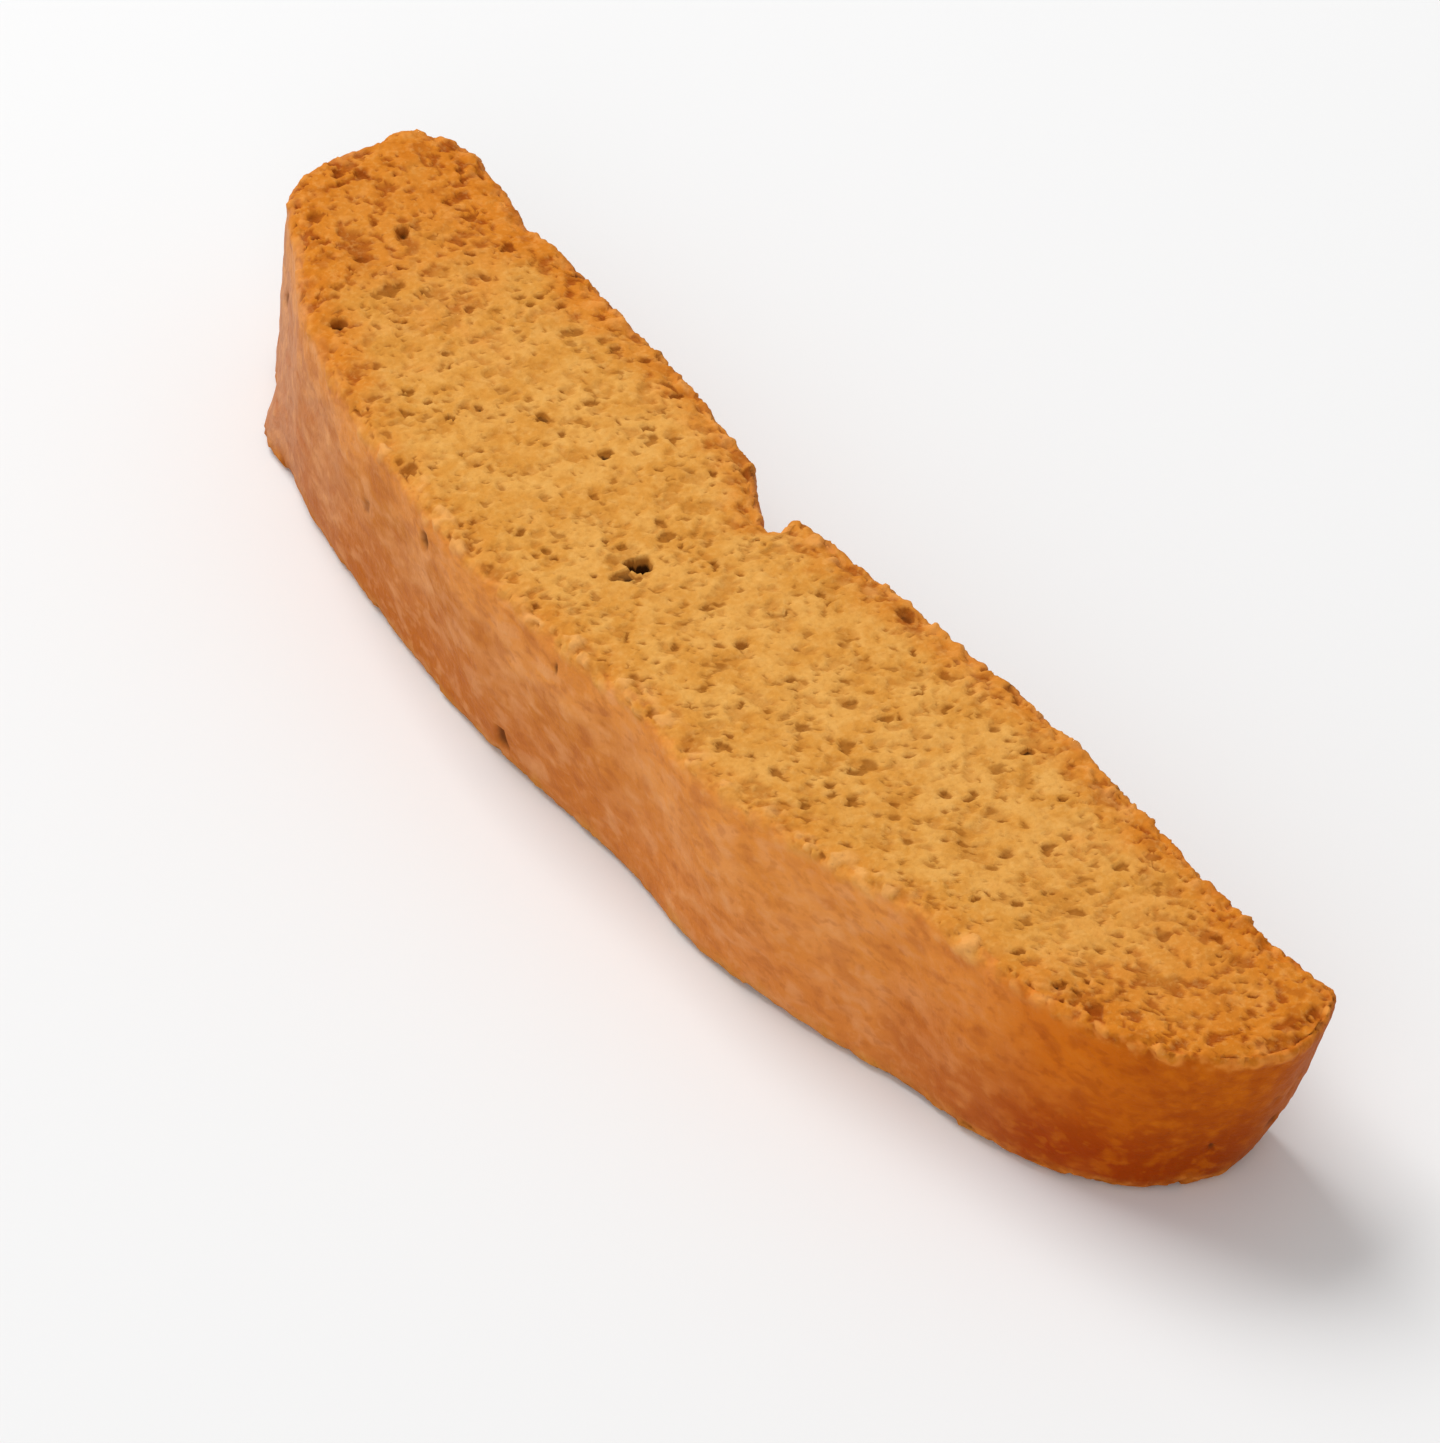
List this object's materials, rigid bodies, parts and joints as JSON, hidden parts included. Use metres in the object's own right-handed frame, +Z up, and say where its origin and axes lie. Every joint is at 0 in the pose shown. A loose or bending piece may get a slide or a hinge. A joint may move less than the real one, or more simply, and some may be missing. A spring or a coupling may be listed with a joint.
{
  "type": "rusk",
  "caption": "Long cake rusk slice with porous toasted cut faces, a domed browned crust along one side, rounded ends and a small notch in its straight side.",
  "frame": {"origin": "under the middle of the rusk, on the surface it lies on", "axes": "+X along the rusk from its narrow end to its round end, -Y towards the domed crust, +Z up from the lower cut face to the upper one"},
  "size_m": [0.1334, 0.0304, 0.017],
  "materials": {
    "baked_crumb": "dry, matte, porous golden crumb on the cut faces, smoother orange-brown crust round the sides"
  },
  "bodies": {
    "root": {"rusk": "baked_crumb"}
  },
  "joints": []
}
